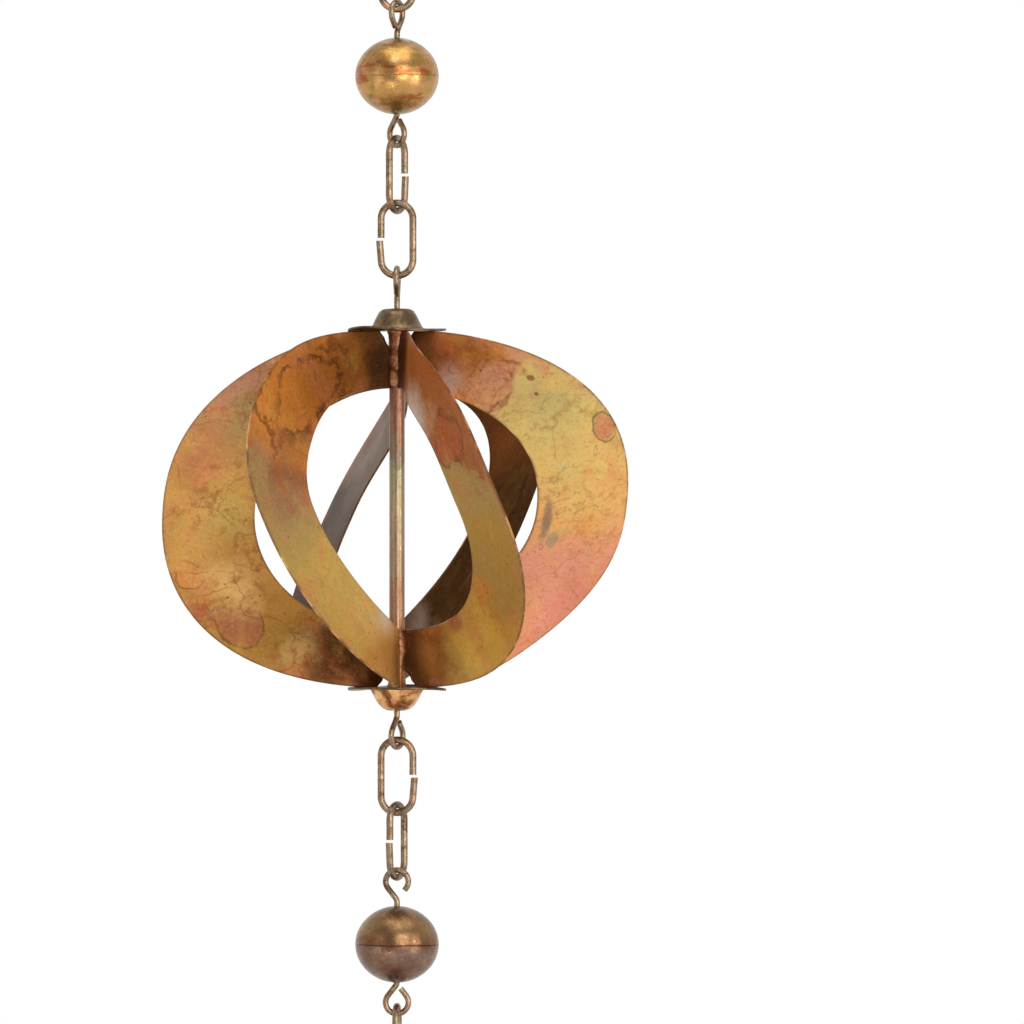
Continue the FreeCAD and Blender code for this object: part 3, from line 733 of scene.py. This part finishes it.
def dress_blades():
    """Six separate blades for each spinner's node of blades."""
    for spinner in SPINNERS:
        node = f"spinner_{spinner}_blades"
        tube_low, tube_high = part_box(f"spinner_{spinner}_tube")
        height = (tube_low[2] + tube_high[2]) / 2
        half_height = (tube_high[2] - tube_low[2]) / 2
        tube_side = (tube_high[0] - tube_low[0]) / 2 + BRAZE_GAP
        for number in range(1, BLADE_COUNT + 1):
            turn = math.radians(SPINNER_TURNS[spinner - 1] + 360 * (number - 1) / BLADE_COUNT)
            bends = BLADE_BENDS[spinner - 1].get(number, EVEN)
            seed = 10 * spinner + number
            name = f"spinner_{spinner}_blade_{number}"
            blade = make_blade(name, turn, bends, height, half_height, tube_side, seed)
            sides = BLADE_PATINAS_AND_SHADE[spinner - 1][number - 1]
            marks = [
                MARKS.get((spinner, number, side))
                or random_marks(2 * seed + turned, DARK_MARKS if sides[turned] in DARK else 1.0)
                for turned, side in enumerate(("left", "right"))
            ]
            blade.data.materials.append(patina_and_painted_light(f"patina_{spinner}_{number}", sides, marks, seed))
            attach(blade, f"spinner_{spinner}")
            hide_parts(node)


def metal(name, stops, seed, size, roughness=(0.3, 0.5), dark=0.4):
    """Worn copper alloy: mottled colours, dark pits and a fine grain."""
    s = Shader(name)
    place = s.shifted(s.place(), (seed * 0.31, seed * 0.47, seed * 0.13))
    cloud = s.noise(place, size, detail=6, roughness=0.65, distortion=0.5)
    base = s.ramp(s.fit(cloud, 0.25, 0.75), stops)
    grain = s.noise(place, size / 6, detail=5, roughness=0.7)
    base = s.tint(base, s.fit(grain, 0.25, 0.55, dark, 0), "#2E1C0E")
    base = s.tint(base, s.fit(grain, 0.55, 0.8, 0, 0.3), "#D8B088")
    gloss = s.fit(cloud, 0.25, 0.75, roughness[1], roughness[0])
    height = s.plus(s.times(cloud, 0.6), s.times(grain, 0.4))
    return s.finish(base, gloss, s.bump(height, 0.25 * MM, 0.6), 0.95)


def paint(names, material):
    """Give CAD nodes a material."""
    for name in names:
        mesh = nodes[name].data
        mesh.materials.clear()
        mesh.materials.append(material)


WIRE_COLOURS = [(0.1, "#58422E"), (0.35, "#816B53"), (0.55, "#927E68"), (0.75, "#876B4E"), (0.95, "#745338")]

# How dark the pits in the wire are
LINK_PITS = 0.55
EYE_PITS = 0.7
HOOK_PITS = 0.6
HOOK_SEED = 37


def wire_metal(name, seed, pits):
    """Bronze wire: grey-tan, with brown, pinkish and olive tarnish, dark pits and pale grain."""
    s = Shader(name)
    place = s.shifted(s.place(), (seed * 0.31, seed * 0.47, seed * 0.13))
    cloud = s.noise(place, 6 * MM, detail=5, roughness=0.65, distortion=0.6)
    base = s.ramp(s.fit(cloud, 0.25, 0.75), WIRE_COLOURS)
    tarnish = s.noise(s.shifted(place, (2, 7, 3)), 5 * MM, detail=3)
    base = s.tint(base, s.fit(tarnish, 0.56, 0.68, 0, 0.5), "#C08A6C")
    base = s.tint(base, s.fit(tarnish, 0.32, 0.44, 0.45, 0), "#8C8A5E")
    grain = s.noise(place, 1.7 * MM, detail=4, roughness=0.65)
    base = s.tint(base, s.fit(grain, 0.3, 0.46, pits, 0), "#3E2C20")
    base = s.tint(base, s.fit(grain, 0.56, 0.75, 0, 0.4), "#D6BCA0")
    height = s.plus(s.times(cloud, 0.5), s.times(grain, 0.6))
    return s.finish(base, s.fit(grain, 0.3, 0.7, 0.38, 0.26), s.bump(height, 0.2 * MM, 0.6), 0.9)


def dress_wire():
    """Bronze wire for the links, the eyes and the hook, each with tarnish of its own."""
    links = [name for name in nodes if name.startswith("link_")]
    eyes = [name for name in nodes if name.endswith("_eye_wire")]
    for number, name in enumerate(links + eyes):
        paint([name], wire_metal(f"wire_{name}", number + 1, LINK_PITS if name in links else EYE_PITS))
    paint(["hook"], wire_metal("wire_hook", HOOK_SEED, HOOK_PITS))


# Ball colours: the ground from pole to pole, pale and dark clouds, rusty and rosy bands with their strength,
# the strength of the seam, and the least roughness
Ball = namedtuple("Ball", "ground clouds bands band_share seam_share gloss")
BALLS = {
    1: Ball(
        [(0.0, "#947038"), (0.35, "#BC8E50"), (0.6, "#AE7E48"), (0.85, "#98783E"), (1.0, "#72562A")],
        ("#DAB67E", "#7E783C"), ("#9C4E2C", "#C68C64"), 0.8, 0.3, 0.22,
    ),
    # Ball 2's greyish-mauve lower half is a painted reflection
    2: Ball(
        [
            (0.0, "#5C4333"), (0.2, "#785F4F"), (0.42, "#81685A"), (0.5, "#785339"), (0.75, "#8B6C48"),
            (1.0, "#6D5537"),
        ],
        ("#9A7855", "#6C4E39"), ("#6A402C", "#8B6C5E"), 0.25, 0.85, 0.25,
    ),
    3: Ball(
        [(0.0, "#515155"), (0.25, "#6A6165"), (0.45, "#785745"), (0.6, "#A16537"), (1.0, "#9D683A")],
        ("#AF784A", "#6D6565"), ("#6A3C29", "#AF7D61"), 0.5, 0.3, 0.28,
    ),
    4: Ball(
        [(0.0, "#4E3523"), (0.4, "#754C32"), (0.7, "#7D573A"), (1.0, "#5F4029")],
        ("#936C48", "#4F3A2C"), ("#3C2517", "#83614F"), 0.6, 0.3, 0.3,
    ),
}


def ball_metal(number, ball):
    """A ball's flame colours from pole to pole, its banded stains and the seam between its shells."""
    low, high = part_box(f"ball_{number}_upper_shell")
    half = high[2] - low[2]
    s = Shader(f"ball_{number}")
    place = s.shifted(s.place(), (0, 0, -low[2]))
    moved = s.shifted(place, (number * 0.7, number * 0.3, number * 0.9))
    level = s.level(place, -half, 2 * half)
    drift = s.noise(moved, 9 * MM, detail=4, distortion=0.5)
    base = s.ramp(s.plus(level, s.spread(drift, 0.09, 0.25)), ball.ground, "EASE")
    pale, dark = ball.clouds
    pale_cloud = s.noise(moved, 6 * MM, detail=4)
    dark_cloud = s.noise(s.shifted(moved, (3, 5, 7)), 7 * MM, detail=4)
    base = s.tint(base, s.fit(pale_cloud, 0.5, 0.7, 0, 0.6), pale)
    base = s.tint(base, s.fit(dark_cloud, 0.5, 0.68, 0, 0.6), dark)
    layers = s.shifted(moved, (0, 0, 0), (1, 1, 2.6))
    band = s.noise(layers, 15 * MM, detail=3, roughness=0.55, distortion=1.2)
    rust, rose = ball.bands
    base = s.tint(base, s.fit(band, 0.53, 0.62, 0, ball.band_share), rust)
    base = s.tint(base, s.fit(band, 0.44, 0.34, 0, ball.band_share), rose)
    grain = s.noise(moved, 1.2 * MM, detail=5, roughness=0.75)
    base = s.tint(base, s.fit(grain, 0.3, 0.48, 0.4, 0), "#4A2E18")
    base = s.tint(base, s.fit(grain, 0.56, 0.75, 0, 0.25), "#E4CC9C")
    seam = s.gap(s.plus(level, s.spread(drift, 0.006, 0.2)), 0.5)
    seam = s.fit(seam, 0.004, 0.012, 1, 0)
    base = s.tint(base, s.times(seam, ball.seam_share), "#3A2014")
    dents = s.noise(moved, 14 * MM, detail=2)
    rise = s.plus(s.times(dents, 2.0), s.times(grain, 0.25))
    rise = s.math("SUBTRACT", rise, s.times(seam, 0.4))
    gloss = s.fit(grain, 0.3, 0.7, ball.gloss + 0.1, ball.gloss)
    return s.finish(base, gloss, s.bump(rise, 0.3 * MM, 0.6), 0.95)


def dress_balls():
    """One metal for both shells of a ball."""
    for number, ball in BALLS.items():
        paint([f"ball_{number}_upper_shell", f"ball_{number}_lower_shell"], ball_metal(number, ball))


def lathe(name, profile, wobble):
    """A turned mesh from a closed outline of (radius, height) pairs, which runs up on its outer side.

    wobble moves a point: it takes radius, height and angle, and gives radius and height.
    """
    points, faces = [], []
    for radius, height in profile:
        for k in range(LATHE_SEGMENTS):
            angle = 2 * math.pi * k / LATHE_SEGMENTS
            r, h = wobble(radius, height, angle)
            points.append((r * math.cos(angle), r * math.sin(angle), h))
    for ring in range(len(profile)):
        start, above = ring * LATHE_SEGMENTS, (ring + 1) % len(profile) * LATHE_SEGMENTS
        for k in range(LATHE_SEGMENTS):
            following = (k + 1) % LATHE_SEGMENTS
            faces.append((start + k, start + following, above + following, above + k))
    return add_piece(name, points, faces)


# Discs: the flat middle, the hole, the rounding of the edge, how far it is bent and dented, rings in the mesh
DISC_FLAT = 9.5 * MM
DISC_BORE = 1.2 * MM
DISC_LIP = 0.2 * MM
DISC_BEND = 0.45 * MM
DISC_DENT = 0.25 * MM
DISC_RINGS = 7


def make_disc(node, seed):
    """A pressed washer whose free edge is bent a little by hand."""
    low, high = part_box(node)
    radius = (high[0] - low[0]) / 2
    bottom, top = low[2], high[2]
    phase = np.random.default_rng(seed).uniform(0, 2 * math.pi, 3)
    outline = np.linspace(DISC_FLAT, radius - DISC_LIP, DISC_RINGS)
    profile = [(DISC_BORE, bottom)] + [(r, bottom) for r in outline] + [(radius, bottom + DISC_LIP)]
    profile += [(radius, top - DISC_LIP)] + [(r, top) for r in outline[::-1]] + [(DISC_BORE, top)]

    def bend(r, h, angle):
        share = max(0.0, (r - DISC_FLAT) / (radius - DISC_FLAT)) ** 2
        lift = math.sin(2 * angle + phase[0]) + 0.6 * math.sin(3 * angle + phase[1])
        dent = DISC_DENT * math.sin(5 * angle + phase[2]) * share
        return r - abs(dent), h + DISC_BEND * lift * share

    return lathe(f"{node}_plate", profile, bend)


# Caps from the rim over the outside to the wire hole and back inside: radius and rise, in millimetres
UPPER_CAP = (
    (8.0, 0.0), (8.7, 0.02), (8.68, 0.3), (8.35, 0.6), (7.9, 1.3), (7.2, 2.8), (6.4, 4.4),
    (5.7, 5.5), (4.9, 6.1), (3.8, 6.42), (2.4, 6.5), (1.25, 6.45), (1.1, 6.2), (1.15, 5.85),
    (3.6, 5.75), (4.5, 5.4), (5.1, 4.9), (5.7, 4.0), (6.5, 2.4), (7.3, 0.9), (7.6, 0.0),
)
LOWER_CAP = (
    (8.0, 0.0), (8.65, 0.02), (8.62, 0.3), (8.3, 0.7), (7.8, 1.7), (6.9, 3.5), (5.8, 5.0),
    (4.6, 6.1), (3.4, 6.65), (2.2, 6.88), (1.25, 6.85), (1.1, 6.6), (1.15, 6.25),
    (2.2, 6.2), (3.2, 5.95), (4.2, 5.4), (5.3, 4.4), (6.3, 3.0), (7.2, 1.2), (7.6, 0.0),
)

# How far a cap is out of round, as a share of its radius
CAP_DENT = 0.008


def make_cap(node, outline, turned, seed):
    """A pressed cap with a rolled rim, a little out of round. The lower one is turned upside down."""
    low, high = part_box(node)
    rim, way = (high[2], -1) if turned else (low[2], 1)
    phase = np.random.default_rng(seed).uniform(0, 2 * math.pi, 2)
    profile = [(radius * MM, rim + way * rise * MM) for radius, rise in outline]

    def press(r, h, angle):
        dent = math.sin(2 * angle + phase[0]) + 0.5 * math.sin(5 * angle + phase[1])
        return r * (1 - CAP_DENT * (1.5 - dent)), h

    return lathe(f"{node}_dome", profile[::-1] if turned else profile, press)


# Braze round a tube's end: depth from the disc and thickness on the tube, in millimetres, and its lumpiness
BRAZE = (
    (0, 0.9), (1.2, 0.45), (3, 0.22), (6, 0.2), (9, 0.35), (11, 0.75), (13, 1.15), (15, 1.1),
    (16.6, 0.6), (17.6, 0.15), (18, -0.1), (0, -0.1),
)
BRAZE_LUMPS = 0.28


def make_braze(name, end, inward, tube_radius, seed):
    """The lumpy braze that holds the blades' ends to the tube, from a disc inwards."""
    phase = np.random.default_rng(seed).uniform(0, 2 * math.pi, 3)
    profile = [(tube_radius + out * MM, end - inward * down * MM) for down, out in BRAZE]

    def lump(r, h, angle):
        depth = abs(h - end) / MM
        bumps = math.sin(2 * angle + phase[0] + 0.35 * depth)
        bumps += 0.7 * math.sin(3 * angle + phase[1] - 0.5 * depth)
        bumps += 0.5 * math.sin(5 * angle + phase[2] + 0.9 * depth)
        free = max(0.0, r - tube_radius)
        return r + free * BRAZE_LUMPS * bumps, h

    return lathe(name, profile[::-1] if inward > 0 else profile, lump)


# Metals of the hubs: colours along their clouds
BRONZE = [(0.1, "#463627"), (0.4, "#604D39"), (0.62, "#705B41"), (0.9, "#7A6248")]
ORANGE = [(0.1, "#5A3418"), (0.4, "#A0683A"), (0.56, "#D09258"), (0.9, "#F0BE88")]
COPPER = [(0.1, "#54301C"), (0.4, "#94603E"), (0.65, "#B07E5A"), (0.95, "#C89A74")]

# Heat colours along a tube, from -1 at its lower end to 1 at its upper end
TUBE_COLOURS = [
    (-1.0, "#693D21"), (-0.7, "#916344"), (-0.35, "#927860"), (0.1, "#988667"), (0.26, "#8F8567"),
    (0.34, "#7A6957"), (0.46, "#8A634E"), (0.75, "#784E3A"), (1.0, "#4D2C1A"),
]


def tube_metal(node, seed):
    """Copper tube, drawn lengthwise, with heat colours from end to end."""
    low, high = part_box(node)
    s = Shader(node)
    place = s.place()
    drawn = s.shifted(place, (seed * 0.3, seed * 0.7, 0), (1, 1, 0.06))
    streaks = s.noise(drawn, 1.1 * MM, detail=4)
    grain = s.noise(place, 1.4 * MM, detail=5, roughness=0.7)
    level = s.level(place, low[2], high[2] - low[2])
    drift = s.spread(s.noise(place, 12 * MM, detail=4), 0.06, 0.25)
    base = s.ramp(s.plus(level, drift), upward(TUBE_COLOURS), "EASE")
    base = s.tint(base, s.fit(streaks, 0.55, 0.75, 0, 0.45), "#C8A088")
    base = s.tint(base, s.fit(streaks, 0.25, 0.45, 0.45, 0), "#4E3222")
    base = s.tint(base, s.fit(grain, 0.28, 0.46, 0.5, 0), "#3E2414")
    height = s.plus(streaks, s.times(grain, 0.5))
    return s.finish(base, s.fit(grain, 0.3, 0.7, 0.44, 0.3), s.bump(height, 0.15 * MM, 0.5), 0.95)


def dress_hubs():
    """Caps, discs and braze for each spinner, and heat colours for its tube."""
    for spinner in SPINNERS:
        body = f"spinner_{spinner}"
        for side, stops, outline in (("upper", BRONZE, UPPER_CAP), ("lower", ORANGE, LOWER_CAP)):
            seed = 60 + 10 * (side == "lower") + spinner
            cap = make_cap(f"{body}_{side}_cap", outline, side == "lower", seed)
            cap_metal = metal(f"{body}_{side}_cap", stops, seed, 5 * MM, roughness=(0.3, 0.46))
            cap.data.materials.append(cap_metal)
            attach(cap, body)
            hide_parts(f"{body}_{side}_cap")
        paint([f"{body}_tube"], tube_metal(f"{body}_tube", 80 + spinner))
        tube_low, tube_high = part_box(f"{body}_tube")
        tube_radius = (tube_high[0] - tube_low[0]) / 2
        for side, end, inward in (("upper", tube_high[2], 1), ("lower", tube_low[2], -1)):
            seed = 100 * spinner + (inward > 0)
            disc = make_disc(f"{body}_{side}_disc", seed)
            disc.data.materials.append(metal(f"{body}_{side}_disc", BRONZE, seed, 5 * MM))
            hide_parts(f"{body}_{side}_disc")
            braze = make_braze(f"{body}_{side}_braze", end, inward, tube_radius, seed)
            braze.data.materials.append(metal(f"{body}_{side}_braze", COPPER, seed + 7, 3 * MM, dark=0.7))
            for piece in (disc, braze):
                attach(piece, body)


def make_floor():
    """A pale floor that keeps the chain's shadow and passes into the white background."""
    half = 4.0
    drop = 60 * MM
    white_near, white_far = 0.7, 1.0
    near, far = 0.4, 2.0
    height = cad_box[0][2] - drop
    corners = [(-half, -half), (half, -half), (half, half), (-half, half)]
    floor = add_piece("floor", [(x, y, height) for x, y in corners], [(0, 1, 2, 3)])
    s = Shader("floor")
    s.surface.inputs["Roughness"].default_value = 0.9
    grain = s.noise(s.place(), 0.4, detail=2)
    base = s.mix(s.fit(grain, 0.3, 0.7), colour("#F0F0EE"), colour("#F4F4F2"))
    s.link(base, s.surface.inputs["Base Color"])
    white = s.add("ShaderNodeEmission")
    path = s.add("ShaderNodeLightPath")
    blend = s.add("ShaderNodeMixShader")
    seen = s.math("MAXIMUM", path.outputs["Is Camera Ray"], path.outputs["Is Glossy Ray"])
    away = s.length(s.shifted(s.place(), (0, 0, 0), (1, 1, 0)))
    s.link(s.times(seen, s.fit(away, near, far, white_near, white_far)), blend.inputs["Fac"])
    s.link(s.surface.outputs[0], blend.inputs[1])
    s.link(white.outputs[0], blend.inputs[2])
    s.link(blend.outputs[0], s.output.inputs["Surface"])
    floor.data.materials.append(s.material)


def make_world():
    """White behind the object, also in its reflections, and dimmer on the camera's side."""
    front_until, back_from = -0.6, 0.5
    world = bpy.data.worlds.new("studio")
    bpy.context.scene.world = world
    world.use_nodes = True
    tree = world.node_tree
    tree.nodes.clear()
    output = tree.nodes.new("ShaderNodeOutputWorld")
    background = tree.nodes.new("ShaderNodeBackground")
    background.inputs["Color"].default_value = (1, 1, 1, 1)
    direction = tree.nodes.new("ShaderNodeTexCoord")
    split = tree.nodes.new("ShaderNodeSeparateXYZ")
    path = tree.nodes.new("ShaderNodeLightPath")
    links = tree.links
    links.new(direction.outputs["Generated"], split.inputs[0])

    def room(front, back):
        """Strength by direction: front on the camera's side, back behind the object."""
        node = tree.nodes.new("ShaderNodeMapRange")
        node.interpolation_type = "SMOOTHSTEP"
        links.new(split.outputs["Y"], node.inputs["Value"])
        node.inputs["From Min"].default_value = front_until
        node.inputs["From Max"].default_value = back_from
        node.inputs["To Min"].default_value = front
        node.inputs["To Max"].default_value = back
        return node.outputs["Result"]

    def choose(ray, otherwise, chosen):
        """One strength for a kind of ray, and another for the rest."""
        node = tree.nodes.new("ShaderNodeMix")
        links.new(path.outputs[ray], node.inputs["Factor"])
        links.new(otherwise, node.inputs["A"])
        if isinstance(chosen, float):
            node.inputs["B"].default_value = chosen
        else:
            links.new(chosen, node.inputs["B"])
        return node.outputs["Result"]

    strength = room(0.45, 0.8)
    for ray in ("Is Glossy Ray", "Is Transmission Ray"):
        strength = choose(ray, strength, room(0.5, 1.0))
    strength = choose("Is Camera Ray", strength, 1.0)
    links.new(strength, background.inputs["Strength"])
    links.new(background.outputs[0], output.inputs["Surface"])


def add_softbox(name, place, target, width, height, power):
    """A rectangular lamp that faces the target: metres and watts."""
    light = bpy.data.lights.new(name, "AREA")
    light.shape = "RECTANGLE"
    light.size = width
    light.size_y = height
    light.energy = power
    lamp = bpy.data.objects.new(name, light)
    lamp.location = place
    lamp.rotation_euler = (Vector(target) - Vector(place)).to_track_quat("-Z", "Y").to_euler()
    bpy.context.collection.objects.link(lamp)


def make_studio():
    """Softboxes round the camera, a card that fills from below and one for sparkle."""
    middle = (0, 0, (cad_box[0][2] + cad_box[1][2]) / 2)
    add_softbox("softbox_left", (-1.9, -1.6, middle[2] + 0.4), middle, 1.2, 2.4, 7)
    add_softbox("softbox_right", (1.9, -1.4, middle[2] + 0.3), middle, 1.2, 2.4, 15)
    add_softbox("softbox_front", (0.7, -2.2, middle[2] + 0.8), middle, 1.2, 1.8, 28)
    add_softbox("softbox_top", (0.1, -0.4, 1.3), middle, 1.4, 1.4, 16)
    add_softbox("fill_card", (-0.5, -1.7, middle[2] - 1.0), middle, 0.5, 0.9, 19)
    add_softbox("sparkle_card", (1.6, -1.1, middle[2] + 0.4), middle, 0.25, 0.35, 3)


def make_camera():
    """The photograph's close-up: level, square on, from far enough for an even scale."""
    distance = 3.5
    low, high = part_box("spinner_1_tube")
    spinner = (low[2] + high[2]) / 2
    across = (PHOTO_SIZE / 2 - SPINNER_PIXEL[0]) * PIXEL
    up = (SPINNER_PIXEL[1] - PHOTO_SIZE / 2) * PIXEL
    camera = bpy.data.cameras.new("camera")
    camera.sensor_width = 36
    camera.lens = camera.sensor_width * distance / (PHOTO_SIZE * PIXEL)
    camera.clip_end = 20
    eye = bpy.data.objects.new("camera", camera)
    eye.location = (across, -distance, spinner + up)
    eye.rotation_euler = (math.pi / 2, 0, 0)
    bpy.context.collection.objects.link(eye)
    bpy.context.scene.camera = eye


dress_blades()
dress_wire()
dress_balls()
dress_hubs()
make_floor()
make_world()
make_studio()
make_camera()
bpy.context.scene.view_settings.view_transform = "Standard"
